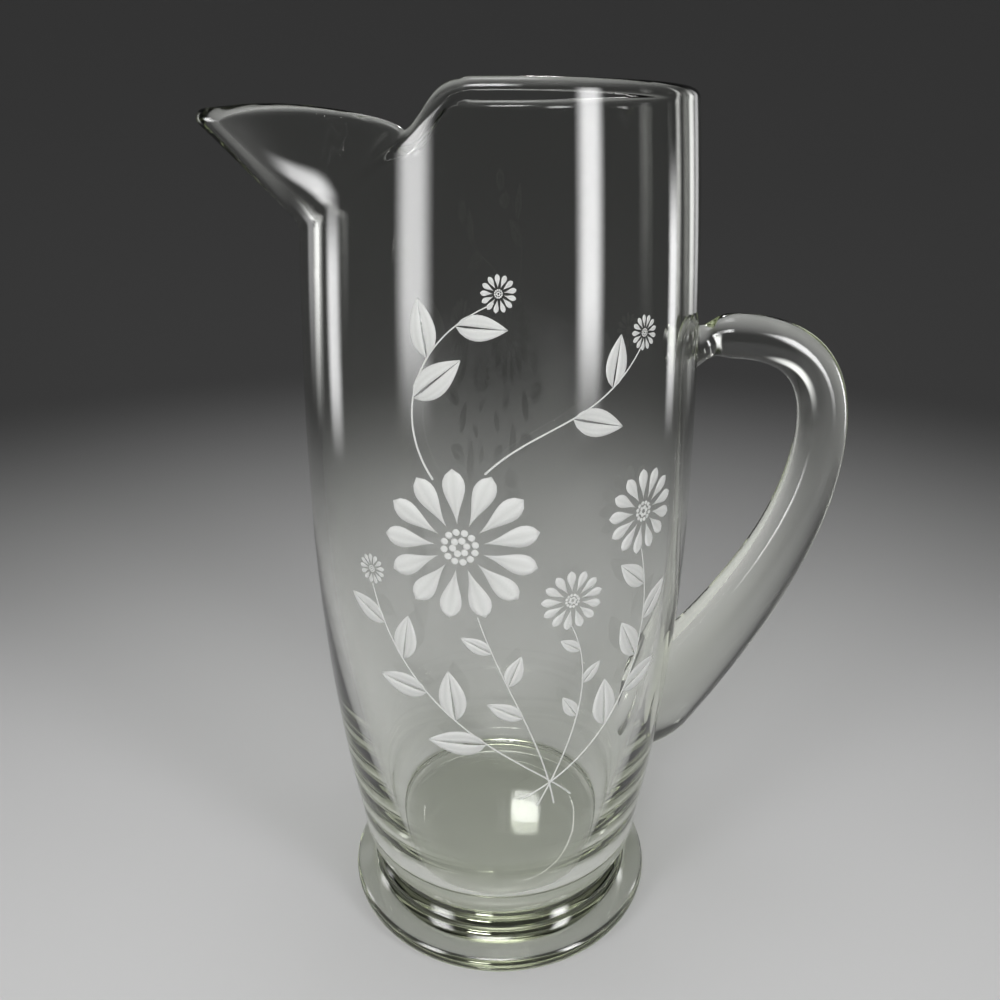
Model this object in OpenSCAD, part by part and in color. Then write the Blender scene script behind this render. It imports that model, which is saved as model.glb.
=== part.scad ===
// Clear glass cocktail pitcher: a blown barrel with a pulled spout, an applied foot and an applied handle.
// Z is the axis and the foot rests on Z = 0. The spout points to -X and the handle to +X.

/* [Vessel] */
// Height from the vessel's base to the level part of its rim
body_h = 228.5; // [211:0.5:256]
// Outer diameter at the rim
rim_d = 95.2; // [88:0.2:100]
// Outer diameter at the widest level of the barrel
belly_d = 106.6; // [103:0.2:116]
// Height of the widest level above the vessel's base
belly_rise = 118.5; // [101:0.5:136]
// Outer diameter where the wall turns in to the heel
heel_d = 90.4; // [86:0.2:98]
// Height of that turn above the vessel's base
heel_rise = 18.5; // [16:0.5:22]
// Outer diameter where the heel meets the waist
waist_d = 80.4; // [76:0.2:84]
// Height of the waist above the vessel's base
waist_rise = 6; // [4:0.5:8]
// Depth to which the waist is hollowed
waist_depth = 1.2; // [0.4:0.1:1.6]
// Diameter of the flat base with which the vessel sits on its foot
seat_d = 82.4; // [79:0.2:86]
// Thickness of the wall at the rim and in the spout
rim_wall = 4.6; // [3.4:0.1:5.6]
// Thickness of the wall at the widest level
belly_wall = 4; // [3:0.1:5.4]
// Thickness of the wall at the level of the floor
heel_wall = 8.5; // [6:0.1:10]
// Thickness of the floor above the base
floor_t = 4; // [3:0.5:7]
// Radius of the corner between the floor and the wall inside
corner_r = 8; // [5:0.5:11]

/* [Spout] */
// Reach of the lip's tip from the axis
spout_reach = 72; // [64:0.5:80]
// Drop of the lip's highest part, beside the tip, below the rim
crest_drop = 3.9; // [2:0.1:6]
// Drop of the tip below the rim
tip_drop = 5.9; // [3:0.1:8]
// Drop of the throat, where the spout leaves the wall, below the rim
throat_drop = 32.5; // [26:0.5:38]
// Drop of the rim's two low points, beside the spout
saddle_drop = 8.3; // [6:0.1:12]
// Angle from the spout to each low point of the rim
saddle_angle = 59; // [52:0.5:64]
// Angle from the spout to where the rim is level again
shoulder_angle = 79; // [72:0.5:88]
// Half of the angle over which the beak opens
beak_angle = 54; // [44:0.5:60]
// How strongly the beak's flanks draw in, from straight to hollow
beak_draw = 2.8; // [2:0.1:4]
// Angle over which the tip is rounded
tip_angle = 7; // [4:0.5:10]
// Depth to which the wall is pinched in between the beak and the level rim
pinch = 1.8; // [0:0.1:3]

/* [Foot] */
// Height of the foot, from the table to the ridge round the vessel's base
foot_h = 11.5; // [10:0.1:14]
// Outer diameter of the foot
foot_d = 97.4; // [92:0.2:110]
// Radius of the foot's rounded edge
foot_edge = 3.2; // [2:0.1:4]
// Depth to which the foot's flare is hollowed
flare_depth = 1.2; // [0.4:0.1:1.6]

/* [Handle] */
// Height of the upper seal's middle above the vessel's base
upper_seal = 165.8; // [156:0.1:174]
// Diameter of the rod next to the upper seal
rod_top_d = 12.2; // [9:0.1:15]
// Diameter of the upper seal, where the rod is pressed on to the wall
seal_d = 16; // [15:0.1:20]
// Reach of the rod's middle from the axis at its outermost point
handle_reach = 93.6; // [88:0.2:106]
// Height of that point above the vessel's base
handle_bend = 138; // [128:0.5:148]
// Height of the lower seal's middle above the vessel's base
lower_seal = 50.5; // [44:0.5:60]
// Angle below level at which the rod runs into the lower seal
lower_angle = 48; // [40:0.5:56]
// Depth of the rod at the lower seal, along the pitcher's middle plane
rod_low_d = 29; // [20:0.1:32]
// Width of the rod at the lower seal, across that plane
rod_low_w = 21; // [16:0.1:26]

/* [Hidden] */

// Radii worked out from the diameters
rim_r = rim_d / 2;
belly_r = belly_d / 2;
heel_r = heel_d / 2;
waist_r = waist_d / 2;
seat_r = seat_d / 2;
foot_r = foot_d / 2;

// Columns round the vessel, closer together at the spout, and rows up its wall
columns = 80;
column_crowding = 0.55;
waist_rows = 4;
heel_rows = 4;
wall_rows = 8;
spout_rows = 9;
rim_rows = 5;
corner_rows = 4;

// Height above the base below which the vessel is a plain turned form
below_throat = 8;
turned_h = body_h - throat_drop - below_throat;
// Part of the spout's height over which the throat's bend is eased
throat_ease = 0.1;
// How early the lip rises from a low point towards the beak, and falls to it from the level rim
crest_quickness = 0.7;
shoulder_quickness = 2.3;
// Steps for measuring slopes of the skin, in degrees round it and in millimetres up it.
// The second is wide enough to keep the lining from folding at the rim's low points
slope_step = 0.2;
slope_reach = 3;

// Direction in which the foot's rounded edge meets its flare, and the steps of each of the foot's curves
edge_turn = 65;
foot_steps = 8;

// Sides and rings of the handle's rod
rod_sides = 20;
rod_rings = 22;
// Length over which the rod swells into the upper seal
seal_length = 7;
// How far the rod's ends run on inside the wall before they are cut
upper_run_in = 9;
lower_run_in = 24;
// Steps of the rounded lower end, and the angle through which it rounds off
tail_steps = 5;
tail_turn = 72;
// How late the rod thickens on its way down
rod_growth = 2.2;
// How far each half of the rod's curve holds its end directions, as shares of its span
upper_pull_share = 0.62;
bend_pull_share = 1;
lower_pull_share = 0.36;
// How far the rod heads upwards out of the upper seal
rod_rise = 5;

function smooth_step(t) = let (c = min(max(t, 0), 1)) c * c * (3 - 2 * c);

// Radius of a wall that bows from the widest level to end_r over a height of rise,
// at a distance away from that level
function bow(end_r, rise, away) = belly_r + (end_r - belly_r) * pow(away / rise, 2);

// Outer radius of the barrel at a height above its base, without its heel
function barrel_r(z) = z < belly_rise
    ? bow(heel_r, belly_rise - heel_rise, belly_rise - z)
    : bow(rim_r, body_h - belly_rise, z - belly_rise);

// Outer radius of the hollow waist, from the base up
function hollow_waist_r(z) = let (t = z / waist_rise)
    seat_r + (waist_r - seat_r) * t - waist_depth * sin(180 * t);

// Outer radius of the heel, a quarter of an oval from the waist up
function heel_oval_r(z) = let (down = (heel_rise - z) / (heel_rise - waist_rise))
    waist_r + (heel_r - waist_r) * sqrt(max(0, 1 - down * down));

// Outer radius of the whole turned form
function turned_r(z) = z < waist_rise ? hollow_waist_r(z) : z < heel_rise ? heel_oval_r(z) : barrel_r(z);

// Angle from the spout's middle, from 0 to 180 degrees
function from_spout(a) = let (w = a - 360 * floor(a / 360)) min(w, 360 - w);

// Drop of the lip below the rim: none, then down to the low point, up along the beak and down to the tip
function lip_drop(a) = let (
    off = from_spout(a),
    shoulder_part = smooth_step((off - saddle_angle) / (shoulder_angle - saddle_angle)),
    crest_part = pow(sin(90 * max(0, 1 - off / saddle_angle)), crest_quickness),
    tip_part = exp(-pow(off / (2 * tip_angle), 2))
)
    off >= saddle_angle
        ? saddle_drop * pow(1 - shoulder_part, shoulder_quickness)
        : saddle_drop - (saddle_drop - crest_drop) * crest_part + (tip_drop - crest_drop) * tip_part;

function lip_height(a) = body_h - lip_drop(a);

// Height of the fold from which the wall leans out into the spout
function fold_height(a) =
    body_h - throat_drop
    + throat_drop * min(1, (1 - cos(from_spout(a))) / (1 - cos(shoulder_angle)));

// Share of the spout's reach that the lip has at an angle, from 1 at the tip to 0
function beak(a) = let (
    off = from_spout(a),
    eased = norm([off, tip_angle]) - tip_angle,
    whole = norm([beak_angle, tip_angle]) - tip_angle
)
    pow(max(0, 1 - eased / whole), beak_draw);

// Share of the pinch at an angle, from 1 at the low point to 0 at the level rim
function pinching(a) = let (t = (from_spout(a) - saddle_angle) / (shoulder_angle - saddle_angle))
    abs(t) < 1 ? pow(cos(90 * t), 2) : 0;

// How far the wall leans out or in at the lip
function lip_lean(a) = (spout_reach - turned_r(edge_height(a))) * beak(a) - pinch * pinching(a);

// Share of that lean at a part of the way from the fold to the lip
function lean_share(t) = t <= 0
    ? 0
    : (norm([t, throat_ease]) - throat_ease) / (norm([1, throat_ease]) - throat_ease);

// A point of the vessel's outer skin at an angle from the spout and a height above the base
function skin(a, z) = let (
    fold = fold_height(a),
    r = turned_r(z) + lip_lean(a) * lean_share((z - fold) / max(0.5, edge_height(a) - fold))
)
    [-r * cos(a), -r * sin(a), z];

function skin_normal(a, z) = let (
    across = skin(a + slope_step, z) - skin(a - slope_step, z),
    up = skin(a, z + slope_reach) - skin(a, z - slope_reach),
    n = cross(across, up)
)
    n / norm(n);

// Thickness of the wall at a height above the base
function wall_at(z) = z < belly_rise
    ? belly_wall + (heel_wall - belly_wall) * pow((belly_rise - z) / (belly_rise - floor_t), 2)
    : belly_wall + (rim_wall - belly_wall) * smooth_step((z - belly_rise) / (turned_h - belly_rise));

function lining(a, z) = skin(a, z) - wall_at(z) * skin_normal(a, z);

// Points of the turned part of the lining, drawn in by a share of the corner's radius
function bore_point(a, z, draw_in = 0) = let (r = barrel_r(z) - wall_at(z) - draw_in)
    [-r * cos(a), -r * sin(a), z];

// The lip's edge is a half round from the skin to the lining
function edge_height(a) = lip_height(a) - rim_wall / 2;

function edge_point(a, turn) = let (
    z = edge_height(a),
    n = skin_normal(a, z),
    along = skin(a + slope_step, edge_height(a + slope_step)) - skin(a - slope_step, edge_height(a - slope_step)),
    up = cross(n, along / norm(along)),
    middle = skin(a, z) - rim_wall / 2 * n
)
    middle + rim_wall / 2 * (cos(turn) * n + sin(turn) * up);

// Inside corner between the wall and the floor
corner_top = floor_t + corner_r;

function corner_point(a, turn) = bore_point(a, corner_top - corner_r * sin(turn), corner_r * (1 - cos(turn)));

// Heights of the plain rows of the wall, and of the rows above them, which follow the lip
wall_heights = [for (i = [0 : wall_rows]) heel_rise + (turned_h - heel_rise) * i / wall_rows];
lining_heights = [for (i = [0 : wall_rows]) corner_top + (turned_h - corner_top) * i / wall_rows];
heel_heights = [for (i = [0 : heel_rows - 1])
    waist_rise + (heel_rise - waist_rise) * (1 - cos(90 * i / heel_rows))];
waist_heights = [for (i = [0 : waist_rows - 1]) waist_rise * i / waist_rows];
outer_heights = concat(waist_heights, heel_heights, wall_heights);
upper_heights = [for (i = [1 : spout_rows]) turned_h + (body_h - turned_h) * i / spout_rows];

function spout_height(a, part) = turned_h + (edge_height(a) - turned_h) * part;

// One column of the vessel's shell, from the seat up the skin, over the lip and down the lining
function column_points(a) = concat(
    [for (z = outer_heights) skin(a, z)],
    [for (i = [1 : spout_rows]) skin(a, spout_height(a, i / spout_rows))],
    [for (i = [1 : rim_rows]) edge_point(a, 180 * i / (rim_rows + 1))],
    [for (i = [spout_rows : -1 : 1]) lining(a, spout_height(a, i / spout_rows))],
    [for (i = [wall_rows : -1 : 0]) bore_point(a, lining_heights[i])],
    [for (i = [1 : corner_rows]) corner_point(a, 90 * i / corner_rows)]
);

column_angles = [for (i = [0 : columns - 1]) let (even = 360 * i / columns)
    even - column_crowding * 180 / PI * sin(even)];

// Triangles that join rings of points into one closed skin, with a point at each end
function ring_faces(rings, sides) = [
    for (k = [0 : rings - 2], i = [0 : sides - 1]) let (
        j = (i + 1) % sides,
        low = k * sides,
        high = low + sides
    )
        each [[low + i, high + j, low + j], [low + i, high + i, high + j]]
];

function end_faces(rings, sides) = let (first = rings * sides, last = (rings - 1) * sides) [
    for (i = [0 : sides - 1]) let (j = (i + 1) % sides)
        each [[first, i, j], [first + 1, last + j, last + i]]
];

module closed_skin(rings, first_point, last_point) {
    sides = len(rings[0]);
    points = concat([for (ring = rings) each ring], [first_point, last_point]);
    polyhedron(points, concat(ring_faces(len(rings), sides), end_faces(len(rings), sides)), convexity = 6);
}

// The blown barrel with its pulled spout, one shell of glass
module vessel() {
    lines = [for (a = column_angles) column_points(a)];
    rows = [for (k = [0 : len(lines[0]) - 1]) [for (line = lines) line[k]]];
    color([0.86, 0.89, 0.84, 0.45])
        translate([0, 0, foot_h])
            closed_skin(rows, [0, 0, 0], [0, 0, floor_t]);
}

// Points of an arc between two directions, round a middle point
function arc_points(middle, r, from, to, steps) = [
    for (i = [0 : steps]) let (turn = from + (to - from) * i / steps)
        middle + r * [cos(turn), sin(turn)]
];

// Points of a hollow curve from one point to another that sinks in by depth at its middle
function hollow_points(from, to, depth, steps) = [
    for (i = [1 : steps]) let (t = i / steps)
        from + (to - from) * t - [depth * sin(180 * t), 0]
];

// The applied foot: rounded edge, hollow flare, and the ridge round the seat under the vessel
module foot() {
    edge_middle = [foot_r - foot_edge, foot_edge];
    edge_top = edge_middle + foot_edge * [cos(edge_turn), sin(edge_turn)];
    outline = concat(
        [[0, 0]],
        arc_points(edge_middle, foot_edge, -90, edge_turn, foot_steps),
        hollow_points(edge_top, [seat_r, foot_h], flare_depth, foot_steps),
        [[0, foot_h]]
    );
    color([0.86, 0.89, 0.84, 0.45])
        rotate_extrude($fn = 96)
            polygon(outline);
}

// The rod's middle line: from the upper seal out to the bend, then down and in to the lower seal
upper_start = [turned_r(upper_seal) - upper_run_in, upper_seal];
bend_point = [handle_reach, handle_bend];
lower_way = [-cos(lower_angle), -sin(lower_angle)];
lower_point = [turned_r(lower_seal), lower_seal];
upper_pull = upper_pull_share * (handle_reach - upper_start[0]);
bend_pull = bend_pull_share * (upper_seal - handle_bend);
lower_pull = lower_pull_share * (handle_bend - lower_seal);

function curve_point(p, t) =
    pow(1 - t, 3) * p[0] + 3 * pow(1 - t, 2) * t * p[1] + 3 * (1 - t) * t * t * p[2] + pow(t, 3) * p[3];

upper_curve = [upper_start, upper_start + [upper_pull, rod_rise], bend_point + [0, bend_pull], bend_point];
lower_curve = [bend_point, bend_point - [0, lower_pull], lower_point - lower_pull * lower_way, lower_point];

middle_line = concat(
    [for (i = [0 : rod_rings]) curve_point(upper_curve, i / rod_rings)],
    [for (i = [1 : rod_rings]) curve_point(lower_curve, i / rod_rings)],
    [for (i = [1 : tail_steps]) lower_point + lower_run_in * i / tail_steps * lower_way]
);

// Distance run along the middle line up to each of its points
function runs(points, i = 0, so_far = 0) = i == len(points)
    ? []
    : let (here = i == 0 ? 0 : so_far + norm(points[i] - points[i - 1]))
        concat([here], runs(points, i + 1, here));

line_runs = runs(middle_line);
whole_run = line_runs[len(line_runs) - 1] - lower_run_in;

// Radius of the rod after a run: thin at the top, thicker to low_d, swollen at the upper seal, round at its end
function rod_radius(run, low_d) = let (
    plain = rod_top_d + (low_d - rod_top_d) * pow(min(1, run / whole_run), rod_growth),
    swell = (seal_d - rod_top_d) * (1 - smooth_step((run - upper_run_in) / seal_length)),
    rounding = cos(tail_turn * max(0, run - whole_run) / lower_run_in)
)
    (plain + swell) / 2 * rounding;

function rod_ring(i) = let (
    last = len(middle_line) - 1,
    way = middle_line[min(i + 1, last)] - middle_line[max(i - 1, 0)],
    side = [-way[1], way[0]] / norm(way),
    deep = rod_radius(line_runs[i], rod_low_d),
    wide = rod_radius(line_runs[i], rod_low_w)
)
    [for (k = [0 : rod_sides - 1]) let (
        turn = 360 * k / rod_sides,
        place = middle_line[i] + deep * cos(turn) * side
    )
        [place[0], -wide * sin(turn), place[1]]];

// Solid of the barrel's outside, which the handle's seals are pressed against
module barrel_outside() {
    rotate_extrude($fn = 96)
        polygon(concat(
            [[0, 0]],
            [for (z = concat(outer_heights, upper_heights)) [turned_r(z), z]],
            [[0, body_h]]
        ));
}

// The applied handle, one tapering rod of solid glass with a seal at each end
module handle() {
    last = len(middle_line) - 1;
    color([0.86, 0.89, 0.84, 0.45])
        translate([0, 0, foot_h])
            difference() {
                closed_skin(
                    [for (i = [0 : last]) rod_ring(i)],
                    [middle_line[0][0], 0, middle_line[0][1]],
                    [middle_line[last][0], 0, middle_line[last][1]]
                );
                barrel_outside();
            }
}

vessel();
foot();
handle();
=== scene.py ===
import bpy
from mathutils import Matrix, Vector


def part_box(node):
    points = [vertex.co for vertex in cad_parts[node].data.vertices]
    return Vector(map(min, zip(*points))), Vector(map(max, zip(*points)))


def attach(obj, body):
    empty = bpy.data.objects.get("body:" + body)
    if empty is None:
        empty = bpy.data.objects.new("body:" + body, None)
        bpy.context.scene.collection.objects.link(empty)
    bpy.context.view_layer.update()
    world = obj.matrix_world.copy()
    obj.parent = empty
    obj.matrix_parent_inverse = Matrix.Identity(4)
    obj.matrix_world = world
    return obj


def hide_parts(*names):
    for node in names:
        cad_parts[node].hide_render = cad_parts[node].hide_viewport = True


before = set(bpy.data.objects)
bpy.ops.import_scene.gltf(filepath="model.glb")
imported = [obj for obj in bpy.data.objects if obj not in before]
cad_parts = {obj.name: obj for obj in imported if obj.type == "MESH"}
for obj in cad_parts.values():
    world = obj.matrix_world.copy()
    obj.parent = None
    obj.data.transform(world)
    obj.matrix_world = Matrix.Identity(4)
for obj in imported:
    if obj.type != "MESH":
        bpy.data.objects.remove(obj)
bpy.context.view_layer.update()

import math

import bmesh
import bpy
import numpy as np

MM = 0.001
scene = bpy.context.scene

# The vessel, in metres. Heights are above its own base, which sits on the foot.
FOOT_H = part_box("foot")[1].z
FOOT_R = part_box("foot")[1].x
BODY_H = 228.5 * MM
RIM_R = 47.6 * MM
BELLY_R = 53.3 * MM
BELLY_RISE = 118.5 * MM
HEEL_R = 45.2 * MM
HEEL_RISE = 18.5 * MM
WAIST_R = 40.2 * MM
WAIST_RISE = 6 * MM
WAIST_DEPTH = 1.2 * MM
SEAT_R = 41.2 * MM
RIM_WALL = 4.6 * MM
BELLY_WALL = 4 * MM
HEEL_WALL = 8.5 * MM
FLOOR_T = 4 * MM
CORNER_R = 8 * MM

# The pulled spout: drops are below the rim, angles are from the spout's middle
SPOUT_REACH = 72 * MM
CREST_DROP = 3.9 * MM
TIP_DROP = 5.9 * MM
THROAT_DROP = 32.5 * MM
SADDLE_DROP = 8.3 * MM
SADDLE = math.radians(59)
SHOULDER = math.radians(79)
BEAK = math.radians(54)
BEAK_DRAW = 2.8
TIP = math.radians(7)
PINCH = 1.8 * MM
THROAT_EASE = 0.1
CREST_QUICKNESS = 0.7
SHOULDER_QUICKNESS = 2.3
LEAST_FOLD = 0.5 * MM

# Below this height the barrel is plainly turned
THROAT_MARGIN = 8 * MM
TURNED_H = BODY_H - THROAT_DROP - THROAT_MARGIN

# The foot
EDGE_R = 3.2 * MM
EDGE_TURN = math.radians(65)
FLARE_DEPTH = 1.2 * MM
EDGE_POINTS, FLARE_POINTS = 40, 60
OUTLINE_STEP = 0.15 * MM
OUTLINE_EASE = 4

# The handle's rod, from its upper seal round the bend to its lower seal
UPPER_SEAL = 165.8 * MM
ROD_TOP_D = 12.2 * MM
SEAL_D = 16 * MM
SEAL_LENGTH = 7 * MM
HANDLE_REACH = 93.6 * MM
HANDLE_BEND = 138 * MM
LOWER_SEAL = 50.5 * MM
LOWER_ANGLE = math.radians(48)
ROD_LOW_D = 29 * MM
ROD_LOW_W = 21 * MM
ROD_GROWTH = 2.2
ROD_RISE = 5 * MM
UPPER_RUN_IN = 9 * MM
NECK_RUN = 4 * MM
NECK_LENGTH = 8 * MM
NECK_SHARE = 0.3
NECK_DIP = 2 * MM
LOWER_RUN_IN = 24 * MM
TAIL_TURN = math.radians(72)
UPPER_PULL_SHARE, BEND_PULL_SHARE, LOWER_PULL_SHARE = 0.62, 1.0, 0.36

# How deep the handle's hot glass is let into the vessel's wall, how far fused pieces run into each other,
# and how far from the axis the seals lie at least
SEAL_DEPTH = 0.05 * MM
SEAL_OVERLAP = 0.02 * MM
SEALS_BEYOND = 30 * MM

# Fineness of the meshes
VESSEL_COLUMNS = 300
COLUMN_CROWDING = 0.4
WAIST_ROWS, HEEL_ROWS, WALL_ROWS, SPOUT_ROWS, LIP_ROWS, CORNER_ROWS = 16, 20, 60, 44, 16, 24
FOOT_SIDES = 240
ROD_SIDES = 72
ROD_STEPS = 90
TAIL_STEPS = 20
CORE_ROWS = 160

# The turned outline: its step, how far it runs past the rim, and over how many steps its turns are eased
PROFILE_STEP = 0.1 * MM
PROFILE_EXTRA = 4 * MM
TURN_EASE, HEEL_EASE = 4, 30
HEEL_EASE_FROM, HEEL_EASE_FADES_IN = 11 * MM, 4 * MM
HEEL_EASE_TO, HEEL_EASE_FADES_OUT = 30 * MM, 6 * MM

# Steps over which the slope of the vessel's outer face is measured
SLOPE_TURN = math.radians(0.3)
SLOPE_RISE = 3 * MM

# Points of a mesh this close are one, and thinner slivers are dropped. Edges are sharp from this turn on.
SEAM_GAP = 0.5e-6
DOUBLES_WITHIN = 0.2e-6
SLIVERS_WITHIN = 0.1e-6
SHARP_TURN = math.radians(40)


def smooth_step(t):
    t = np.clip(t, 0, 1)
    return t * t * (3 - 2 * t)


def swell_round(t):
    """A round bump, from 0 at -1 to 1 at 0 and back."""
    return np.where(np.abs(t) < 1, np.cos(math.pi / 2 * t) ** 2, 0)


def soften(values, steps):
    """Evens out a row of values over a number of neighbours, with both ends held."""
    weights = np.hanning(2 * steps + 3)[1:-1]
    weights /= weights.sum()
    before = 2 * values[0] - values[steps:0:-1]
    after = 2 * values[-1] - values[-2:-steps - 2:-1]
    return np.convolve(np.concatenate([before, values, after]), weights, "valid")


def cubic(p, t):
    """Points of a cubic curve with four corners, at shares of its way."""
    t = t[:, None]
    back = 1 - t
    return back ** 3 * p[0] + 3 * back ** 2 * t * p[1] + 3 * back * t * t * p[2] + t ** 3 * p[3]


def bow(end_r, rise, away):
    return BELLY_R + (end_r - BELLY_R) * (away / rise) ** 2


def barrel_radius(z):
    """Outer radius of the barrel without its heel."""
    return np.where(z < BELLY_RISE,
                    bow(HEEL_R, BELLY_RISE - HEEL_RISE, BELLY_RISE - z),
                    bow(RIM_R, BODY_H - BELLY_RISE, z - BELLY_RISE))


def barrel_profile():
    """Heights and outer radii of the barrel, with the turn at the heel eased as in hot glass."""
    z = np.arange(0, BODY_H + PROFILE_EXTRA, PROFILE_STEP)
    waist = SEAT_R + (WAIST_R - SEAT_R) * z / WAIST_RISE - WAIST_DEPTH * np.sin(math.pi * z / WAIST_RISE)
    down = (HEEL_RISE - z) / (HEEL_RISE - WAIST_RISE)
    heel = WAIST_R + (HEEL_R - WAIST_R) * np.sqrt(np.clip(1 - down ** 2, 0, 1))
    plain = np.where(z < WAIST_RISE, waist, np.where(z < HEEL_RISE, heel, barrel_radius(z)))
    radius = soften(plain, TURN_EASE)
    eased = soften(radius, HEEL_EASE)
    past_waist = smooth_step((z - HEEL_EASE_FROM) / HEEL_EASE_FADES_IN)
    past_heel = smooth_step((z - HEEL_EASE_TO) / HEEL_EASE_FADES_OUT)
    return z, radius + (eased - radius) * past_waist * (1 - past_heel)


PROFILE_Z, PROFILE_R = barrel_profile()


def turned_radius(z):
    return np.interp(z, PROFILE_Z, PROFILE_R)


def wall_at(z):
    low = BELLY_WALL + (HEEL_WALL - BELLY_WALL) * ((BELLY_RISE - z) / (BELLY_RISE - FLOOR_T)) ** 2
    high = BELLY_WALL + (RIM_WALL - BELLY_WALL) * smooth_step((z - BELLY_RISE) / (TURNED_H - BELLY_RISE))
    return np.where(z < BELLY_RISE, low, high)


def from_spout(a):
    """Angle from the spout's middle, from 0 to pi."""
    wrapped = np.mod(a, 2 * math.pi)
    return np.minimum(wrapped, 2 * math.pi - wrapped)


def edge_height(a):
    """Height of the middle of the lip's rounded edge."""
    off = from_spout(a)
    down = SADDLE_DROP * (1 - smooth_step((off - SADDLE) / (SHOULDER - SADDLE))) ** SHOULDER_QUICKNESS
    rise = np.sin(math.pi / 2 * np.clip(1 - off / SADDLE, 0, 1)) ** CREST_QUICKNESS
    tip = (TIP_DROP - CREST_DROP) * np.exp(-(off / (2 * TIP)) ** 2)
    drop = np.where(off >= SADDLE, down, SADDLE_DROP - (SADDLE_DROP - CREST_DROP) * rise + tip)
    return BODY_H - drop - RIM_WALL / 2


def lip_lean(a):
    """How far the lip leans out of the turned form, or in where it is pinched."""
    off = from_spout(a)
    eased = (np.hypot(off, TIP) - TIP) / (math.hypot(BEAK, TIP) - TIP)
    beak = np.clip(1 - eased, 0, 1) ** BEAK_DRAW
    side = (off - SADDLE) / (SHOULDER - SADDLE)
    return (SPOUT_REACH - turned_radius(edge_height(a))) * beak - PINCH * swell_round(side)


def round_the_axis(a, r, z):
    """Points at angles from the spout, at radii and heights."""
    return np.stack([-r * np.cos(a), -r * np.sin(a), z], -1)


def skin(a, z):
    """Points of the vessel's outer face, at angles from the spout and heights above its base."""
    up_share = np.minimum(1, (1 - np.cos(from_spout(a))) / (1 - math.cos(SHOULDER)))
    fold = BODY_H - THROAT_DROP + THROAT_DROP * up_share
    t = np.clip((z - fold) / np.maximum(LEAST_FOLD, edge_height(a) - fold), 0, None)
    share = (np.hypot(t, THROAT_EASE) - THROAT_EASE) / (math.hypot(1, THROAT_EASE) - THROAT_EASE)
    return round_the_axis(a, turned_radius(z) + lip_lean(a) * share, z)


def unit(v):
    return v / np.linalg.norm(v, axis=-1, keepdims=True)


def skin_normal(a, z):
    along = skin(a + SLOPE_TURN, z) - skin(a - SLOPE_TURN, z)
    up = skin(a, z + SLOPE_RISE) - skin(a, z - SLOPE_RISE)
    return unit(np.cross(along, up))


def bore(z):
    """Inner radius of the turned part of the barrel."""
    return barrel_radius(z) - wall_at(z)


def lining(a, z):
    """Points of the inner face, a wall's thickness behind the outer one."""
    return skin(a, z) - wall_at(z)[..., None] * skin_normal(a, z)


def vessel_rows():
    """Rings of points from the seat up the outer face, over the lip and down the lining to the floor."""
    even = np.arange(VESSEL_COLUMNS) * 2 * math.pi / VESSEL_COLUMNS
    a = even - COLUMN_CROWDING * np.sin(even)
    level = np.ones_like(a)
    rows = []
    for i in range(WAIST_ROWS):
        rows.append(skin(a, level * WAIST_RISE * i / WAIST_ROWS))
    for i in range(HEEL_ROWS):
        up = 1 - math.cos(math.pi / 2 * i / HEEL_ROWS)
        rows.append(skin(a, level * (WAIST_RISE + (HEEL_RISE - WAIST_RISE) * up)))
    for z in np.linspace(HEEL_RISE, TURNED_H, WALL_ROWS + 1):
        rows.append(skin(a, level * z))
    edge = edge_height(a)
    for t in np.linspace(0, 1, SPOUT_ROWS + 1)[1:]:
        rows.append(skin(a, TURNED_H + (edge - TURNED_H) * t))
    n = skin_normal(a, edge)
    ahead, behind = a + SLOPE_TURN, a - SLOPE_TURN
    along = unit(skin(ahead, edge_height(ahead)) - skin(behind, edge_height(behind)))
    up = np.cross(n, along)
    middle = skin(a, edge) - RIM_WALL / 2 * n
    for i in range(1, LIP_ROWS):
        bend = math.pi * i / LIP_ROWS
        rows.append(middle + RIM_WALL / 2 * (math.cos(bend) * n + math.sin(bend) * up))
    for t in np.linspace(1, 0, SPOUT_ROWS + 1)[:-1]:
        rows.append(lining(a, TURNED_H + (edge - TURNED_H) * t))
    corner_top = FLOOR_T + CORNER_R
    for z in np.linspace(TURNED_H, corner_top, WALL_ROWS + 1):
        rows.append(round_the_axis(a, bore(z), level * z))
    for i in range(1, CORNER_ROWS + 1):
        bend = math.pi / 2 * i / CORNER_ROWS
        z = corner_top - CORNER_R * math.sin(bend)
        r = bore(z) - CORNER_R * (1 - math.cos(bend))
        rows.append(round_the_axis(a, r, level * z))
    return rows


def add_object(name, mesh):
    piece = bpy.data.objects.new(name, mesh)
    scene.collection.objects.link(piece)
    return piece


def skin_over(name, rows, first, last):
    """A closed mesh over rings of points, with a point at each end."""
    rings, sides = len(rows), len(rows[0])
    points = np.concatenate(rows + [np.array([first, last])])
    faces = []
    for k in range(rings - 1):
        for i in range(sides):
            j = (i + 1) % sides
            faces.append((k * sides + i, k * sides + j, (k + 1) * sides + j, (k + 1) * sides + i))
    end = rings * sides
    for i in range(sides):
        j = (i + 1) % sides
        faces.append((end, j, i))
        faces.append((end + 1, (rings - 1) * sides + i, (rings - 1) * sides + j))
    mesh = bpy.data.meshes.new(name)
    mesh.from_pydata([tuple(p) for p in points], [], faces)
    return add_object(name, mesh)


# Node trees

def socket(sockets, key):
    """An input or output by its number, or the first one in use that has the name."""
    if isinstance(key, int):
        return sockets[key]
    return next(s for s in sockets if s.enabled and s.name == key)


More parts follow.
